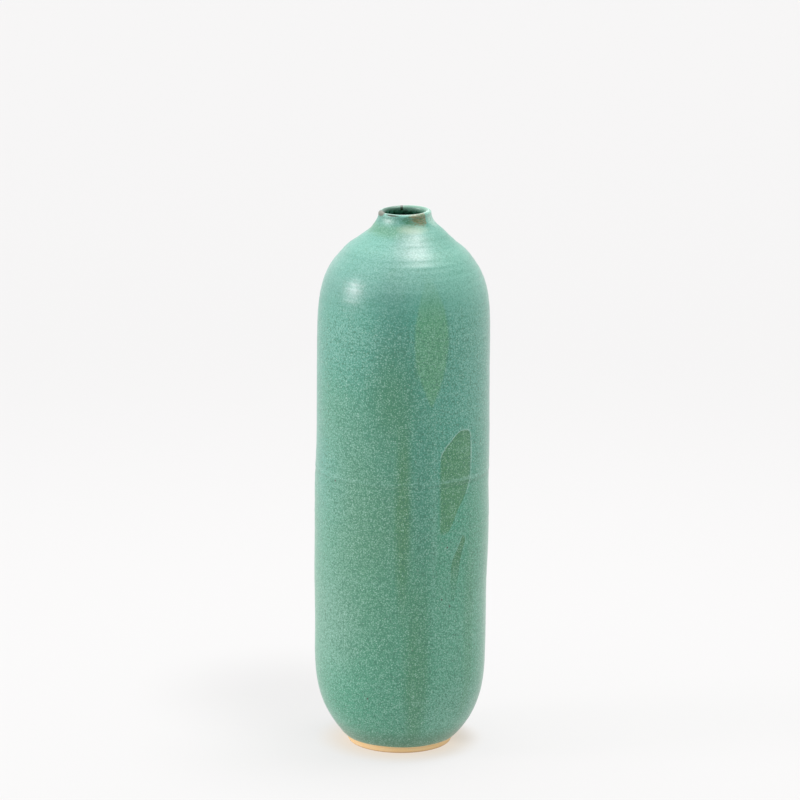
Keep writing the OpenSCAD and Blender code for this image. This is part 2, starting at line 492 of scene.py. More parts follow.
# Windows that the second coat left bare: degrees round from the front, and height.
WINDOW = [
    (49.7, 215.8), (50.8, 212.7), (51.1, 190), (49.7, 184), (48.3, 179), (45.5, 173), (40.3, 167),
    (36.6, 160), (33.5, 154), (30.4, 150.8), (26.0, 150.2), (25.4, 161.5), (25.2, 187), (25.6, 201.5),
    (28.9, 207.1), (32.7, 210.6), (36.6, 214.3), (39.1, 216.4), (42.5, 217.5), (47.2, 217.3),
]
SLIVER = [
    (44.3, 149), (46, 147.5), (46.9, 145), (45.1, 141.4), (43.7, 137.7), (42.6, 132.6),
    (41.5, 126), (40.5, 118), (38.8, 108), (36.8, 105), (35.4, 112), (34.6, 124), (35.2, 131.8),
    (37.6, 136.3), (39.8, 140.4), (42.3, 145),
]
EDGE_STEP, WINDOW_GAP, UNDER_GAP = 0.5, 1.35, 4.0
BEAD_LOOPS = (0.0, 0.3, 0.62, 1.0, 1.6, 2.5)    # distances from the edge of the bead's points


def rounded_loop(outline):
    """Window outline in flattened millimetres, smoothed and evenly stepped."""
    flat = [(math.radians(a) * BODY_R, z) for a, z in outline]
    for _ in range(3):
        cut = []
        for i, p in enumerate(flat):
            q = flat[(i + 1) % len(flat)]
            cut.append((0.75 * p[0] + 0.25 * q[0], 0.75 * p[1] + 0.25 * q[1]))
            cut.append((0.25 * p[0] + 0.75 * q[0], 0.25 * p[1] + 0.75 * q[1]))
        flat = cut
    closed = resample(flat + [flat[0]], EDGE_STEP)[:-1]
    return [(x + 0.14 * noise.noise(Vector((x / 3, z / 3, 5.0))),
             z + 0.14 * noise.noise(Vector((x / 3, z / 3, 9.0)))) for x, z in closed]


class Edge:
    """The windows' edges on the flattened wall, with their outward directions."""

    def __init__(self, loops):
        self.tree = KDTree(sum(len(loop) for loop in loops))
        self.at, self.out = [], []
        for loop in loops:
            area = sum(a[0] * b[1] - b[0] * a[1] for a, b in zip(loop, loop[1:] + loop[:1]))
            turn = 1 if area > 0 else -1
            for i, p in enumerate(loop):
                a, b = loop[i - 1], loop[(i + 1) % len(loop)]
                dx, dz = b[0] - a[0], b[1] - a[1]
                length = math.hypot(dx, dz)
                self.tree.insert((p[0], p[1], 0), len(self.at))
                self.at.append(p)
                self.out.append((turn * dz / length, -turn * dx / length))
        self.tree.balance()

    def distance(self, x, z):
        """Millimetres to the nearest edge, negative inside a window."""
        (px, pz, _), i, length = self.tree.find((x, z, 0))
        side = (x - px) * self.out[i][0] + (z - pz) * self.out[i][1]
        return length if side >= 0 else -length


LOOPS = [rounded_loop(WINDOW), rounded_loop(SLIVER)]
EDGE = Edge(LOOPS)
# Part of the wall that is meshed freely, round both windows.
PATCH_DEG, PATCH_Z = (20.0, 60.0), (96.0, 223.0)
NOWHERE_NEAR = 99.0


def firmness(angle, z):
    """1 where a window's edge is crisp, at the top and right, and 0 where the coat feathers out."""
    return max(smooth(198, 205, z), smooth(44, 50, angle), 0.35 * smooth(128, 140, z) * (z < 150))


def coat_edge(d, angle, z):
    """Second coat near a window: a thin edge with a low bead, or a long feathered edge."""
    crisp = -0.22 * math.exp(-d / 2.2) + 0.12 * bump(d, 0.5, 0.4) - 0.14 * bump(d, 0.0, 0.2)
    feathered = -0.44 * math.exp(-(d / 3.5) ** 2)
    firm = firmness(angle, z)
    return firm * crisp + (1 - firm) * feathered


def edge_mark(d, angle, z):
    """Pale line along the bead, broken here and there."""
    broken = 0.6 + 0.8 * noise.noise(Vector((angle / 2.5, z / 2.5, 3.0)))
    return max(0.0, min(1.0, firmness(angle, z) * broken)) * bump(d, 0.35, 0.45)


def glaze_roll(z):
    """The second coat swells a little just above its lower edge."""
    return 0.14 * bump(z, GLAZE_LINE_Z + 2.4, 1.8)


def loose_points(low_z, high_z, fill, loops_out):
    """Points on the flattened patch: rings round the windows, and a fill that is clear of them."""
    points = []
    for out in loops_out:
        for (x, z), (ox, oz) in zip(EDGE.at, EDGE.out):
            p = (x + out * ox, z + out * oz)
            if EDGE.distance(*p) > 0.93 * out:
                points.append(Vector(p))
    clear = (loops_out[-1] if loops_out else 0.0) + 0.6 * fill
    low_x, high_x = (math.radians(a) * BODY_R for a in PATCH_DEG)
    for n in range(1, int((high_x - low_x) / fill)):
        for m in range(1, int((high_z - low_z) / fill)):
            p = (low_x + n * fill, low_z + (m + 0.5 * (n % 2)) * fill)
            if EDGE.distance(*p) > clear and p[1] < high_z - 0.5 * fill:
                points.append(Vector(p))
    return points


def windowed_sheet(body, rows, fill, loops_out, lift):
    """Adds one surface of the second coat, with its windows, to body = (points, pale, faces).

    fill is the gap between points near the windows, loops_out the distances of the rings of points
    round them, and lift(d, angle, z) raises the surface. Returns the indices of its first and last
    rows and of each window's edge.
    """
    points, pale, faces = body
    angles = ring_angles()
    step = angles[1] - angles[0]
    k0, k1 = (round((a + 180) / step) for a in PATCH_DEG)
    i0 = max(i for i, row in enumerate(rows) if row[1] <= PATCH_Z[0])
    i1 = min(i for i, row in enumerate(rows) if row[1] >= PATCH_Z[1])

    def add(angle, r, z, nr, nz):
        x = math.radians(angle) * BODY_R
        near = PATCH_DEG[0] <= angle <= PATCH_DEG[1] and PATCH_Z[0] <= z <= PATCH_Z[1]
        d = max(0.0, EDGE.distance(x, z)) if near else NOWHERE_NEAR
        points.append(coated(angle, r, z, nr, nz, 1.0, lift(d, angle, z)))
        pale.append(edge_mark(d, angle, z) if near else 0.0)
        return len(points) - 1

    # A plain grid, apart from the patch.
    grid = {}
    for i, (r, z, nr, nz) in enumerate(rows):
        for k, angle in enumerate(angles):
            if not (i0 < i < i1 and k0 < k < k1):
                grid[i, k] = add(angle, r, z, nr, nz)
    for i in range(len(rows) - 1):
        for k in range(COLUMNS):
            if not (i0 <= i < i1 and k0 <= k < k1):
                m = (k + 1) % COLUMNS
                faces.append((grid[i, k], grid[i, m], grid[i + 1, m], grid[i + 1, k]))

    # The patch, flattened: its border, the windows' edges and loose points.
    border = ([(i0, k) for k in range(k0, k1 + 1)] + [(i, k1) for i in range(i0 + 1, i1 + 1)]
              + [(i1, k) for k in range(k1 - 1, k0 - 1, -1)]
              + [(i, k0) for i in range(i1 - 1, i0, -1)])
    flat = [Vector((math.radians(angles[k]) * BODY_R, rows[i][1])) for i, k in border]
    known = [grid[key] for key in border]
    edges = [(n, (n + 1) % len(flat)) for n in range(len(flat))]
    loop_at = []
    for loop in LOOPS:
        first = len(flat)
        flat += [Vector(p) for p in loop]
        edges += [(first + n, first + (n + 1) % len(loop)) for n in range(len(loop))]
        loop_at.append(first)
    flat += loose_points(rows[i0][1], rows[i1][1], fill, loops_out)
    # Triangulated flat, then laid on the wall, without the triangles inside the windows.
    made, _, triangles, origin, _, _ = delaunay_2d_cdt(flat, edges, [], 0, 1e-6)
    heights = [row[1] for row in rows]
    index = []
    for spot, source in zip(made, origin):
        if source and source[0] < len(known):
            index.append(known[source[0]])
            continue
        i = max(i0, min(i1 - 1, bisect_right(heights, spot.y) - 1))
        a, b = rows[i], rows[i + 1]
        t = (spot.y - a[1]) / (b[1] - a[1])
        r, nr, nz = (a[j] + t * (b[j] - a[j]) for j in (0, 2, 3))
        index.append(add(math.degrees(spot.x / BODY_R), r, spot.y, nr, nz))
    for corners in triangles:
        x = sum(made[c].x for c in corners) / 3
        z = sum(made[c].y for c in corners) / 3
        if EDGE.distance(x, z) > 0:
            faces.append(tuple(index[c] for c in corners))
    back = {source[0]: n for n, source in enumerate(origin) if source}
    loops = [[index[back[first + n]] for n in range(len(loop))]
             for first, loop in zip(loop_at, LOOPS)]
    ends = [[grid[i, k] for k in range(COLUMNS)] for i in (0, len(rows) - 1)]
    return ends, loops


def bridge(faces, low, high):
    """Joins two rings of points that run the same way."""
    count = len(low)
    for n in range(count):
        m = (n + 1) % count
        faces.append((low[n], low[m], high[m], high[n]))


def edge_roll(outer, under, reach):
    """Rounded lower edge of a coat, from its under side out to its face."""
    nr, nz = with_normals(SKIN[:2])[0][2:]
    way, points = (-nz, nr), []
    for t in (0.12, 0.32, 0.5, 0.68, 0.88):
        drop = reach * math.sin(math.pi * t)
        points.append(tuple(under[j] + t * (outer[j] - under[j]) - drop * way[j] for j in (0, 1)))
    return points


def top_coat():
    """Second coat, from the rolled edge above the foot to nothing under the lip."""
    end = LIP_Z - 0.6
    outline = resample(between(SKIN, 0, 315), FINE)
    outline += resample(between(SKIN, outline[-1][1], end), FINE / 2)[1:]
    outer = with_normals(outline)
    below = resample(between(BASE_LINE, 0, end), UNDER_GAP)
    points, pale, faces, hidden = [], [], [], []
    ends, loops = windowed_sheet((points, pale, faces), outer, WINDOW_GAP, BEAD_LOOPS,
                                 lambda d, a, z: coat_edge(d, a, z) + glaze_roll(z))
    below_ends, below_loops = windowed_sheet((points, pale, hidden), with_normals(below),
                                             UNDER_GAP, (), lambda d, a, z: -0.04 * bump(d, 0, 1))
    faces += [tuple(reversed(face)) for face in hidden]
    for upper, lower in zip(loops, below_loops):
        bridge(faces, upper, lower)
    bridge(faces, ends[1], below_ends[1])
    last = below_ends[0]
    nr, nz = outer[0][2:]
    for r, z in edge_roll(outline[0], below[0], 0.2):
        ring = []
        for angle in ring_angles():
            points.append(coated(angle, r, z, nr, nz, 1.0, 0.0))
            pale.append(0.5)
            ring.append(len(points) - 1)
        bridge(faces, last, ring)
        last = ring
    bridge(faces, last, ends[0])
    return add_mesh("green_coat", points, faces, pale)


# -------- material nodes

class Graph:
    """A material's node tree, built with plain calls.

    place, x, y, z and radius are in millimetres, angle is in degrees round the vase, and side is
    the angle's sine: 1 at the right and -1 at the left. colour is what tint() has laid so far.
    """

    def __init__(self, name):
        self.material = bpy.data.materials.new(name)
        self.material.use_nodes = True
        self.tree = self.material.node_tree
        self.tree.nodes.clear()
        self.shader = self.tree.nodes.new("ShaderNodeBsdfPrincipled")
        output = self.tree.nodes.new("ShaderNodeOutputMaterial")
        self.tree.links.new(self.shader.outputs["BSDF"], output.inputs["Surface"])
        where = self.tree.nodes.new("ShaderNodeTexCoord").outputs["Object"]
        self.place = self.vector("SCALE", where, 1 / MM)
        split = self.tree.nodes.new("ShaderNodeSeparateXYZ")
        self.link(self.place, split.inputs[0])
        self.x, self.y, self.z = split.outputs
        turn = self.math("ARCTAN2", self.x, self.math("MULTIPLY", self.y, -1.0))
        self.angle = self.math("MULTIPLY", turn, 180 / math.pi)
        self.radius = self.math("SQRT", self.plus(self.times(self.x, self.x),
                                                  self.times(self.y, self.y)))
        self.side = self.math("DIVIDE", self.x, self.radius)
        self.colour = None

    def link(self, value, socket):
        """Sets a socket to another node's output, a colour, a vector or a number."""
        if isinstance(value, bpy.types.NodeSocket):
            self.tree.links.new(value, socket)
        elif isinstance(value, tuple) and len(value) == 3 and socket.type == "RGBA":
            socket.default_value = (*value, 1.0)
        else:
            socket.default_value = value

    def math(self, operation, a, b=0.0, c=0.0):
        node = self.tree.nodes.new("ShaderNodeMath")
        node.operation = operation
        for value, socket in zip((a, b, c), node.inputs):
            self.link(value, socket)
        return node.outputs[0]

    def vector(self, operation, a, b):
        node = self.tree.nodes.new("ShaderNodeVectorMath")
        node.operation = operation
        self.link(a, node.inputs[0])
        self.link(b, node.inputs["Scale" if operation == "SCALE" else 1])
        return node.outputs[0]

    def stretched(self, x, y, z, shift=0.0):
        """Place divided by a length in each direction, for a texture of scale 1."""
        scaled = self.vector("MULTIPLY", self.place, (1 / x, 1 / y, 1 / z))
        return self.vector("ADD", scaled, (shift, shift, shift))

    def noise(self, where, detail, rough):
        node = self.tree.nodes.new("ShaderNodeTexNoise")
        self.link(where, node.inputs["Vector"])
        node.inputs["Scale"].default_value = 1.0
        node.inputs["Detail"].default_value = detail
        node.inputs["Roughness"].default_value = rough
        return node.outputs["Fac"]

    def cells(self, where):
        """Distance to the nearest of scattered points, and a random number for that point."""
        node = self.tree.nodes.new("ShaderNodeTexVoronoi")
        self.link(where, node.inputs["Vector"])
        node.inputs["Scale"].default_value = 1.0
        split = self.tree.nodes.new("ShaderNodeSeparateColor")
        self.link(node.outputs["Color"], split.inputs[0])
        return node.outputs["Distance"], split.outputs[0]

    def ramp(self, value, low, high, out_low=0.0, out_high=1.0):
        """Smooth step from out_low to out_high. low may be above high."""
        node = self.tree.nodes.new("ShaderNodeMapRange")
        node.interpolation_type = "SMOOTHSTEP"
        if low > high:
            low, high, out_low, out_high = high, low, out_high, out_low
        for value_in, socket in zip((value, low, high, out_low, out_high), node.inputs):
            self.link(value_in, socket)
        return node.outputs["Result"]

    def mix(self, amount, a, b):
        node = self.tree.nodes.new("ShaderNodeMix")
        node.data_type = "RGBA"
        self.link(amount, node.inputs["Factor"])
        self.link(a, node.inputs["A"])
        self.link(b, node.inputs["B"])
        return node.outputs["Result"]

    def tint(self, colour, *amounts):
        """Lays a colour over the graph's own, by the product of the amounts."""
        self.colour = self.mix(self.times(*amounts), self.colour, colour)

    def times(self, *values):
        return reduce(lambda a, b: self.math("MULTIPLY", a, b), values)

    def plus(self, *values):
        return reduce(lambda a, b: self.math("ADD", a, b), values)

    def mark(self, name):
        node = self.tree.nodes.new("ShaderNodeAttribute")
        node.attribute_name = name
        return node.outputs["Fac"]

    def spot(self, angle, z, wide, tall, soft, ragged=0.0, grain=None, pointed=False):
        """Patch on the wall, 1 inside: centre and half sizes in degrees and millimetres.

        ragged is how far grain moves its edge. It is an oval, or a lens with its points up and down.
        """
        across = self.math("SUBTRACT", self.angle, angle)
        across = self.math("ABSOLUTE", self.math("DIVIDE", across, wide))
        along = self.math("ABSOLUTE", self.math("DIVIDE", self.math("SUBTRACT", self.z, z), tall))
        if pointed:
            size = self.math("MULTIPLY_ADD", along, along, across)
        else:
            size = self.math("SQRT", self.plus(self.times(across, across),
                                               self.times(along, along)))
        if ragged:
            size = self.math("MULTIPLY_ADD", self.math("SUBTRACT", grain, 0.5), ragged, size)
        return self.ramp(size, 1 + soft, 1 - soft)

    def bump(self, height, strength, distance):
        node = self.tree.nodes.new("ShaderNodeBump")
        node.inputs["Strength"].default_value = strength
        node.inputs["Distance"].default_value = distance * MM
        self.link(height, node.inputs["Height"])
        self.link(node.outputs["Normal"], self.shader.inputs["Normal"])


# Glaze colours, linear.
NEARLY_BLACK = (0.004, 0.030, 0.006)
SEA_GREEN = (0.050, 0.312, 0.182)
TURQUOISE = (0.044, 0.316, 0.230)
DEEP_GREEN = (0.028, 0.172, 0.100)
SHADY_GREEN = (0.036, 0.228, 0.132)
DARK_TEAL = (0.044, 0.240, 0.182)
OLIVE = (0.034, 0.215, 0.062)
DARK_OLIVE = (0.010, 0.125, 0.028)
SHADY_OLIVE = (0.004, 0.184, 0.060)
LENS_GREEN = (0.092, 0.346, 0.166)
PALE_OLIVE = (0.075, 0.260, 0.090)
EARTHY = (0.085, 0.190, 0.090)
NECK_GREEN = (0.075, 0.265, 0.150)
SLIVER_OLIVE = (0.015, 0.176, 0.044)
WARM_OLIVE = (0.038, 0.200, 0.064)
MINT = (0.390, 0.640, 0.530)
PAINTED_HIGHLIGHT_CREAM = (0.370, 0.500, 0.330)
MILKY = (0.230, 0.470, 0.385)
MIST = (0.222, 0.340, 0.315)
PAINTED_LEFT_LIGHT = (0.370, 0.470, 0.430)
RUST = (0.215, 0.180, 0.085)
ASH_BROWN = (0.095, 0.090, 0.056)
BROWN = (0.040, 0.036, 0.020)
PALE_EDGE = (0.520, 0.740, 0.630)
MOUTH_SHADE_LEFT, MOUTH_SHADE_RIGHT = (0.040, 0.130, 0.080), (0.150, 0.330, 0.235)
LINER_DEEP, LINER_THROAT_SHADE, LINER_PALE = (0.010, 0.050, 0.028), (0.003, 0.018, 0.010), (0.230, 0.450, 0.340)

# Patches and runs of the glaze, and some patches of painted light: degrees round, height, half sizes,
# softness, strength, colour.
SHADES = [
    (-7, 272, 13, 38, 0.7, 0.75, DARK_TEAL), (-6, 238, 13, 28, 0.8, 0.70, SHADY_OLIVE),
    (4, 165, 21, 90, 0.8, 0.42, SHADY_GREEN), (-12, 60, 24, 50, 0.8, 0.38, SHADY_GREEN),
    # Of the next two, the second is painted light: a pale patch by the left box's highlight on the
    # shoulder.
    (-54, 228, 20, 24, 0.8, 0.30, PALE_OLIVE), (-42, 284, 22, 22, 0.8, 0.28, MILKY),
    # The next two are painted light: a warm pale over the left of the wall, where the left box shines.
    (-50, 150, 22, 80, 0.8, 0.14, PAINTED_LEFT_LIGHT), (-50, 88, 20, 30, 0.8, 0.18, PAINTED_LEFT_LIGHT),
    # Of the next two, the second is painted light: light from the floor, bounced onto the lower right
    # of the wall.
    (52, 300, 34, 18, 0.8, 0.16, MILKY), (40, 30, 34, 16, 0.8, 0.24, MILKY),
    (33, 75, 13, 44, 0.8, 0.14, MILKY), (-22, 165, 24, 80, 0.8, 0.40, EARTHY),
    (48, 262, 26, 40, 0.8, 0.17, MILKY), (30, 336, 34, 8, 0.8, 0.12, MIST),
]
RUNS = [
    (1, 166, 4.6, 52, 0.6, 0.85, WARM_OLIVE), (11, 58, 7.5, 62, 0.6, 0.55, WARM_OLIVE),
    (13.5, 178, 7, 50, 0.7, 0.35, DARK_TEAL), (21.5, 160, 2.0, 50, 0.8, 0.25, MILKY),
    (51.5, 83, 4.5, 58, 0.7, 0.30, WARM_OLIVE),
]
# Placed iron specks: degrees round, and height.
PITS = [(-49.4, 182.8), (31.3, 142.6), (27.8, 108.4), (34.3, 103), (-22.5, 42)]
LENS_AT, LENS_Z = 19, 278


def lip_tick(g):
    """Dark tick across the back of the lip, a little left of the middle."""
    across = g.ramp(g.math("ABSOLUTE", g.math("SUBTRACT", g.x, -2.1)), 1.0, 0.55)
    return g.times(across, g.ramp(g.z, 348.0, 348.8), g.ramp(g.y, 8, 10))


def glaze(name, bare):
    """Both outer coats. bare is True for the first coat, which is olive where it shows."""
    g = Graph(name)
    clouds = g.noise(g.stretched(38, 38, 60), 3.0, 0.55)
    streaks = g.noise(g.stretched(6.5, 6.5, 70, 7.0), 3.0, 0.6)
    mottle = g.noise(g.stretched(5.0, 5.0, 5.0, 3.0), 3.0, 0.6)
    grain = g.noise(g.stretched(0.7, 0.7, 0.7, 11.0), 1.0, 0.5)
    bands = g.noise(g.stretched(60, 60, 2.6, 5.0), 2.0, 0.6)

    height = g.math("MULTIPLY_ADD", g.math("SUBTRACT", clouds, 0.5), 140.0, g.z)
    g.colour = g.mix(g.ramp(height, 120, 250), SEA_GREEN, TURQUOISE)
    for at, z, wide, tall, soft, strength, colour in SHADES:
        g.tint(colour, g.spot(at, z, wide, tall, soft, 0.6, clouds), strength)
    for at, z, wide, tall, soft, strength, colour in RUNS:
        g.tint(colour, g.spot(at, z, wide, tall, soft, 0.9, streaks), strength)
    g.tint(SHADY_GREEN, g.ramp(streaks, 0.50, 0.75, 0.0, 0.25))

    # Olive lens right of the front, with a shady right edge, that fades out on the shoulder.
    fade = g.ramp(g.z, 324, 292, 0.0, 0.80)
    lens_edge = g.times(g.spot(LENS_AT + 0.4, LENS_Z, 12.2, 44, 0.06, 0.2, mottle, pointed=True),
                        g.ramp(g.angle, 12, 20, 0.0, 0.6))
    g.tint(SHADY_GREEN, lens_edge, fade)
    lens = g.spot(LENS_AT, LENS_Z, 11.5, 43, 0.10, 0.2, mottle, pointed=True)
    g.tint(LENS_GREEN, lens, fade)
    g.tint(WARM_OLIVE, g.spot(9, 262, 1.6, 9, 0.7), 0.4)
    if bare:
        soft_side = g.times(g.ramp(g.angle, 24.4, 27.4), g.ramp(g.z, 149, 155))
        g.tint(OLIVE, soft_side, g.ramp(g.z, 330, 300), 0.9)
        sliver = g.times(g.ramp(g.z, 150, 148), g.ramp(g.z, 110, 138, 0.2, 1.0))
        g.tint(SLIVER_OLIVE, sliver, 0.95)

    # The shoulder and the neck, where the glaze lies thick and milky under painted light: a paler
    # shoulder, lighter at the right, and painted highlights.
    # Painted light from above: the shoulder is paler, more at the right, over the glaze's own milky
    # tint.
    milky_lit_shoulder = g.times(g.ramp(g.z, 286, 312), g.ramp(g.side, -0.87, 0.77, 0.34, 0.52))
    milky_lit_veil = g.mix(g.ramp(g.side, -0.34, 0.71), MIST, MILKY)
    g.tint(milky_lit_veil, milky_lit_shoulder, g.ramp(g.z, 322, 334, 1.0, 0.8))
    neck = g.times(g.ramp(g.z, 336, 340), g.ramp(g.z, 346, 342), g.ramp(mottle, 0.2, 0.5, 0.4, 1.0))
    g.tint(NECK_GREEN, neck, g.ramp(g.side, 0.34, -0.17), 0.85)
    # Painted highlight: a pale patch at the top of the shoulder, just right of the front.
    g.tint(MIST, g.spot(8, 335, 20, 10, 0.6, 0.5, mottle), 0.35)
    # Painted highlight: the left box's reflection on the neck, left of the front.
    g.tint(MINT, g.spot(-38, 347.2, 17, 2.6, 0.7, 0.6, mottle), 0.45)
    g.tint(MINT, g.spot(76, 347.5, 22, 5, 0.4, 0.5, mottle), 0.7)

    # Throwing rings, where the glaze pools a little in each groove, and the seam's ring with a painted
    # highlight along it and painted shade under it.
    g.tint(SHADY_GREEN, g.ramp(bands, 0.52, 0.72, 0.0, 0.18))
    g.tint(MILKY, g.ramp(bands, 0.46, 0.28, 0.0, 0.14))
    # Painted highlight along the seam's ring and painted shade just under it, both stronger at the
    # right.
    seam = g.math("ABSOLUTE", g.math("SUBTRACT", g.z, SEAM_Z + 1.6))
    clear = g.ramp(g.side, 0.34, 0.50, 0.2, 0.48)
    g.tint(MILKY, g.ramp(seam, 1.6, 0.4), g.ramp(streaks, 0.3, 0.6, 0.4, 1.0), clear)
    under = g.math("ABSOLUTE", g.math("SUBTRACT", g.z, SEAM_Z - 1.4))
    g.tint(DEEP_GREEN, g.ramp(under, 1.6, 0.3), clear, 0.6)
    g.tint(SHADY_GREEN, g.ramp(mottle, 0.55, 0.75, 0.0, 0.25))
    g.tint(MILKY, g.ramp(mottle, 0.45, 0.25, 0.0, 0.20))
    g.tint(DEEP_GREEN, g.ramp(g.z, 22, 8, 0.0, 0.80))

    # Crystals: a close pale and dark grain, and brighter specks on the lower two thirds.
    near, pick = g.cells(g.stretched(1.02, 1.02, 1.02))
    pale = g.times(g.ramp(near, 0.50, 0.20), g.ramp(pick, 0.0, 1.0, 0.2, 1.0))
    dark = g.times(g.ramp(near, 0.45, 0.80), g.ramp(pick, 0.0, 1.0, 1.0, 0.3))
    crisp = g.ramp(g.z, 304, 278, 0.5, 1.0)
    g.tint(DEEP_GREEN, dark, crisp, 0.95)
    g.tint(MINT, pale, crisp, 0.55)
    speck_near, speck_pick = g.cells(g.stretched(1.08, 1.08, 1.08, 6.0))
    speck = g.times(g.ramp(speck_near, 0.48, 0.26), g.ramp(speck_pick, 0.64, 0.86))
    thick = g.times(g.ramp(mottle, 0.38, 0.60, 0.3, 1.0), g.ramp(g.z, 320, 260, 0.25, 1.0))
    g.tint(MINT, speck, thick, 0.60)
    g.tint(MINT, g.ramp(grain, 0.55, 0.80), crisp, 0.30)
    g.tint(DEEP_GREEN, g.ramp(grain, 0.45, 0.22), crisp, 0.60)

    # Iron specks and pinholes.
    far_apart, chance = g.cells(g.stretched(9, 9, 9, 4.0))
    iron = g.times(g.ramp(far_apart, 0.05, 0.025), g.ramp(chance, 0.78, 0.82))
    for angle, z in PITS:
        iron = g.math("MAXIMUM", iron, g.spot(angle, z, 0.6, 0.7, 0.35))
    g.tint(BROWN, iron, 0.8)

    # Under the lip, a painted highlight, and the glaze runs thin: rusty on the right, olive beside it,
    # ashy on the left.
    rim_noise = g.noise(g.stretched(2.2, 2.2, 0.9, 21.0), 3.0, 0.65)
    # Painted highlight: a creamy band below the lip, right of the front.
    g.tint(PAINTED_HIGHLIGHT_CREAM, g.spot(15, 342.6, 24, 2.4, 0.6, 0.6, rim_noise), 0.45)
    olive = g.spot(14, 347.2, 21, 2.9, 0.5, 0.9, rim_noise)
    g.tint(DARK_OLIVE, olive, g.ramp(rim_noise, 0.35, 0.6, 0.85, 0.35))
    rust = g.times(g.spot(36, 348.8, 23, 4.2, 0.30, 1.1, rim_noise), g.ramp(g.angle, 50.5, 48.5))
    g.tint(RUST, rust, g.ramp(rim_noise, 0.35, 0.65, 0.95, 0.55))
    stain = g.noise(g.stretched(1.8, 1.8, 0.7, 33.0), 2.0, 0.5)
    g.tint(DARK_OLIVE, rust, g.ramp(stain, 0.48, 0.60), 0.6)
    g.tint(NEARLY_BLACK, g.spot(-30, 350.3, 15, 0.45, 0.3, 1.2, rim_noise))
    g.tint(PALE_EDGE, g.mark("pale"), g.ramp(rim_noise, 0.3, 0.6, 0.4, 0.7))
    g.tint(ASH_BROWN, g.spot(-74, 350.2, 20, 1.7, 0.25, 0.5, rim_noise), 0.92)

    # Inside the mouth, as far as the first coat reaches, painted shade that is darker at the left, and
    # the tick across the lip.
    inside = g.times(g.ramp(g.radius, 15.2, 14.5), g.ramp(g.z, 340, 342), g.ramp(g.y, -6, 2))
    shade = g.mix(g.ramp(g.x, -12, 8), MOUTH_SHADE_LEFT, MOUTH_SHADE_RIGHT)
    g.tint(shade, inside, 0.9)
    g.tint(NEARLY_BLACK, lip_tick(g))

    g.link(g.colour, g.shader.inputs["Base Color"])
    g.link(g.plus(g.ramp(mottle, 0.3, 0.7, 0.30, 0.36), g.times(pale, 0.04),
                  g.ramp(g.z, 318, 334, 0.0, 0.07)), g.shader.inputs["Roughness"])
    g.shader.inputs["IOR"].default_value = 1.65
    g.shader.inputs["Sheen Weight"].default_value = 0.17
    g.shader.inputs["Sheen Roughness"].default_value = 0.4
    height = g.plus(g.times(grain, 0.25), g.times(pale, 0.30), g.times(mottle, 1.2),
                    g.times(iron, -1.2))
    g.bump(height, 0.20, 0.10)
    return g.material


def liner_material():
    """Glossy liner, with painted shade that makes it dark in the throat, and paler just inside the lip.
    """
    g = Graph("liner_glaze")
    mottle = g.noise(g.stretched(3, 3, 3), 3.0, 0.6)
    runs = g.noise(g.stretched(4, 4, 40, 2.0), 2.0, 0.5)
    g.colour = g.mix(g.ramp(mottle, 0.35, 0.7), LINER_DEEP, SHADY_GREEN)
    g.tint(DARK_OLIVE, g.ramp(runs, 0.5, 0.75, 0.0, 0.6))
    # Painted shade, nearly black, deep in the throat.
    g.tint(LINER_THROAT_SHADE, g.ramp(g.z, 348.5, 345.5, 0.0, 0.95))
    upper = g.times(g.ramp(g.z, 347.2, 350.2), g.ramp(g.x, -12, 6, 0.25, 0.90))
    g.tint(LINER_PALE, upper)
    g.tint(NEARLY_BLACK, lip_tick(g))
    g.link(g.colour, g.shader.inputs["Base Color"])
    g.link(g.ramp(mottle, 0.3, 0.7, 0.22, 0.34), g.shader.inputs["Roughness"])
    g.shader.inputs["IOR"].default_value = 1.5
    g.bump(mottle, 0.3, 0.1)
    return g.material


# Clay and slip colours: light, dark and toasted.
CREAM, TAN, TOAST = (0.880, 0.660, 0.370), (0.640, 0.420, 0.200), (0.900, 0.630, 0.310)
SLIP_COLOURS = (0.56, 0.42, 0.24), (0.40, 0.28, 0.14), (0.60, 0.42, 0.22)
# Painted contact shade along the foot's lowest edge.
FOOT_CONTACT_SHADE = (0.400, 0.190, 0.080)


def clay_material(name, light, dark, toast):
    """Bare fired stoneware: grog, iron specks, toasted patches, and painted contact shade along the
    foot's lowest edge.
    """
    g = Graph(name)
    blotch = g.noise(g.stretched(7, 7, 3), 3.0, 0.6)
    grog = g.noise(g.stretched(0.7, 0.7, 0.7, 9.0), 2.0, 0.6)
    rings = g.noise(g.stretched(60, 60, 0.8, 4.0), 2.0, 0.6)
    near, pick = g.cells(g.stretched(1.6, 1.6, 1.6, 2.0))
    g.colour = g.mix(g.ramp(blotch, 0.35, 0.68), light, toast)
    g.tint(dark, g.ramp(rings, 0.5, 0.75, 0.0, 0.35))
    g.tint(dark, g.ramp(grog, 0.55, 0.80, 0.0, 0.5))
    speck = g.times(g.ramp(near, 0.16, 0.08), g.ramp(pick, 0.72, 0.80))
    g.tint(BROWN, speck, 0.6)
    # Painted contact shade: darker along the lowest millimetre of the foot, where it meets the floor.
    g.tint(FOOT_CONTACT_SHADE, g.ramp(g.z, 1.2, 0.2, 0.0, 0.8))
    g.link(g.colour, g.shader.inputs["Base Color"])
    g.link(g.ramp(grog, 0.3, 0.7, 0.78, 0.92), g.shader.inputs["Roughness"])
    g.bump(g.plus(grog, g.times(rings, 0.8)), 0.45, 0.12)
    return g.material


# -------- pieces

def finish_piece(obj, node, material):
    """Turns every face outwards, gives the piece its material slot and body, and hides the CAD part of
    its node.
    """
    build = bmesh.new()
    build.from_mesh(obj.data)
    bmesh.ops.recalc_face_normals(build, faces=build.faces)
    build.to_mesh(obj.data)
    build.free()
    obj.data.materials.append(material)
    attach(obj, "root")
    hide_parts(node)


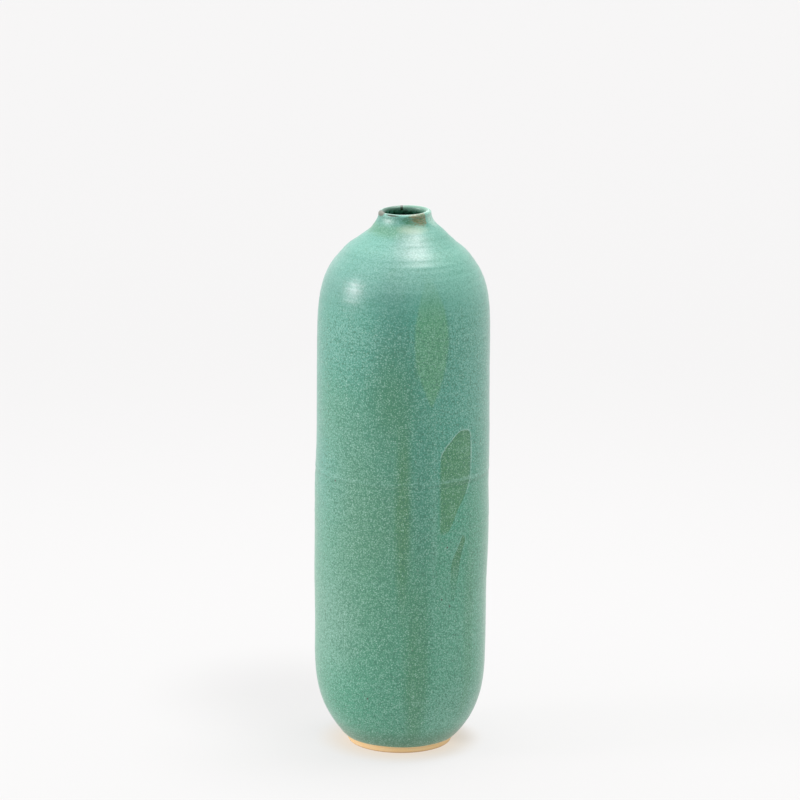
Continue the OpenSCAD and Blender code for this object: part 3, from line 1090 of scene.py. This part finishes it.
clay = clay_material("stoneware_clay", CREAM, TAN, TOAST)
slip = clay_material("slip", *SLIP_COLOURS)
finish_piece(thrown_base(), "base_section", clay)
finish_piece(slip_ring("seam_slip_ring", SEAM_Z), "seam_slip", slip)
finish_piece(thrown_upper(), "upper_section", clay)
finish_piece(slip_ring("neck_slip_ring", NECK_SEAM_Z), "neck_slip", slip)
finish_piece(neck_and_lip(), "neck_collar", clay)
finish_piece(liner_coat(), "inner_glaze", liner_material())
finish_piece(base_coat(), "glaze_base_coat", glaze("olive_glaze", True))
finish_piece(top_coat(), "glaze_top_coat", glaze("green_glaze", False))


# -------- floor, light and camera

# Brightness, and ranges of the sine of elevation over which it changes.
HORIZON_LEVEL, HORIZON_RISE = 0.88, (0.03, 0.16)
WALL_LEVEL, WALL_TO_RIGHT, WALL_TO_BACK = 0.66, -0.25, 0.42
OVERHEAD_LEVEL, OVERHEAD_RISE = 1.2, (0.50, 0.85)
SHADOW_AT, SHADOW_SIZE = (-75.0, 92.0), (100, 108)  # millimetres to the right and back
FLOOR_R = 14.0                                      # metres


def floor_material():
    """White sweep. It glows, as overexposed paper does, and dims a little away from the vase.

    Far off it dims to the horizon's brightness, most at the left, where the left box glances off it.
    """
    g = Graph("floor")
    g.shader.inputs["Base Color"].default_value = (0.12, 0.12, 0.12, 1.0)
    g.shader.inputs["Roughness"].default_value = 0.8
    g.shader.inputs["Specular IOR Level"].default_value = 0.1
    # Painted warm light, bounced from the clay foot onto the floor near it.
    tint = g.mix(g.ramp(g.radius, 33, 58), (1.0, 0.900, 0.780), (1.0, 0.998, 0.990))
    g.link(tint, g.shader.inputs["Emission Color"])

    # Shadows: a close one beside the foot at the back right, and a wide soft one at the back left.
    behind_right = g.math("ABSOLUTE", g.math("SUBTRACT", g.angle, 108))
    contact = g.times(g.ramp(behind_right, 45, 15), g.ramp(g.radius, 55, 42, 0.0, 0.12))
    across = g.times(g.math("SUBTRACT", g.x, SHADOW_AT[0]), 1 / SHADOW_SIZE[0])
    back = g.times(g.math("SUBTRACT", g.y, SHADOW_AT[1]), 1 / SHADOW_SIZE[1])
    from_shadow = g.math("SQRT", g.plus(g.times(across, across), g.times(back, back)))
    shadow = g.plus(contact, g.ramp(from_shadow, 1.15, 0.1, 0.0, 0.11))

    far = g.times(g.ramp(g.radius, 3600, 9000), g.ramp(g.side, -1.0, -0.7, 0.26, 0.115))
    glow = g.times(g.ramp(g.radius, 250, 1200, 0.715, 0.665), g.math("SUBTRACT", 1.0, far))
    g.link(g.times(glow, g.math("SUBTRACT", 1.0, shadow)), g.shader.inputs["Emission Strength"])
    return g.material


def make_floor():
    """Wide round floor, in metres."""
    build = bmesh.new()
    bmesh.ops.create_circle(build, cap_ends=True, segments=96, radius=FLOOR_R)
    mesh = bpy.data.meshes.new("floor")
    build.to_mesh(mesh)
    build.free()
    mesh.materials.append(floor_material())
    obj = bpy.data.objects.new("floor", mesh)
    bpy.context.scene.collection.objects.link(obj)


def soft_light(name, azimuth, elevation, spread, strength, colour):
    """Distant round soft box, by the direction it shines from. spread is its width in degrees."""
    a, e = math.radians(azimuth), math.radians(elevation)
    away = Vector((math.sin(a) * math.cos(e), -math.cos(a) * math.cos(e), math.sin(e)))
    data = bpy.data.lights.new(name, "SUN")
    data.angle = math.radians(spread)
    data.energy = strength
    data.color = colour
    light = bpy.data.objects.new(name, data)
    light.location = away
    light.rotation_euler = away.to_track_quat("Z", "Y").to_euler()
    bpy.context.scene.collection.objects.link(light)


def make_world():
    """White studio: a soft box overhead, pale walls behind and at the left, dim in front."""
    world = bpy.data.worlds.new("studio")
    world.use_nodes = True
    tree = world.node_tree
    way = tree.nodes.new("ShaderNodeTexCoord").outputs["Generated"]
    split = tree.nodes.new("ShaderNodeSeparateXYZ")
    tree.links.new(way, split.inputs[0])

    def multiply_add(a, b, c):
        node = tree.nodes.new("ShaderNodeMath")
        node.operation = "MULTIPLY_ADD"
        for value, socket in zip((a, b, c), node.inputs):
            if isinstance(value, float):
                socket.default_value = value
            else:
                tree.links.new(value, socket)
        return node.outputs[0]

    def rise(low, high):
        node = tree.nodes.new("ShaderNodeMapRange")
        node.interpolation_type = "SMOOTHSTEP"
        tree.links.new(split.outputs[2], node.inputs["Value"])
        node.inputs["From Min"].default_value = low
        node.inputs["From Max"].default_value = high
        return node.outputs["Result"]

    walls = multiply_add(split.outputs[0], WALL_TO_RIGHT, WALL_LEVEL)
    walls = multiply_add(split.outputs[1], WALL_TO_BACK, walls)
    dome = multiply_add(rise(*OVERHEAD_RISE), OVERHEAD_LEVEL, walls)
    blend = tree.nodes.new("ShaderNodeMix")
    tree.links.new(rise(*HORIZON_RISE), blend.inputs["Factor"])
    blend.inputs["A"].default_value = HORIZON_LEVEL
    tree.links.new(dome, blend.inputs["B"])
    back = tree.nodes["Background"]
    back.inputs["Color"].default_value = (0.985, 0.99, 1.0, 1.0)
    tree.links.new(blend.outputs["Result"], back.inputs["Strength"])
    bpy.context.scene.world = world


CAMERA_UP_DEG, CAMERA_AWAY, CAMERA_LENS = 14.82, 2.765, 193.05
AIM_LEFT_DEG, AIM_RAISE_DEG, ROLL_DEG = 0.0405, 1.027, 0.585


def make_camera():
    """Long lens, higher than the vase, aimed a little above its middle and rolled slightly."""
    up = math.radians(CAMERA_UP_DEG)
    data = bpy.data.cameras.new("camera")
    data.sensor_width = 36.0
    data.lens = CAMERA_LENS
    camera = bpy.data.objects.new("camera", data)
    place = Vector((0, -CAMERA_AWAY * math.cos(up), CAMERA_AWAY * math.sin(up)))
    camera.location = Vector((0, 0, HEIGHT / 2 * MM)) + place
    pitch = math.radians(90 - CAMERA_UP_DEG + AIM_RAISE_DEG)
    aim = Matrix.Rotation(math.radians(AIM_LEFT_DEG), 3, "Z") @ Matrix.Rotation(pitch, 3, "X")
    camera.rotation_euler = (aim @ Matrix.Rotation(math.radians(ROLL_DEG), 3, "Z")).to_euler()
    bpy.context.scene.collection.objects.link(camera)
    bpy.context.scene.camera = camera


make_floor()
make_world()
soft_light("left_box", -79, 20, 20, 1.30, (1.0, 0.86, 0.94))
soft_light("top_box", 115, 76, 20, 1.62, (1.0, 0.92, 0.95))
make_camera()
bpy.context.scene.view_settings.view_transform = "Standard"
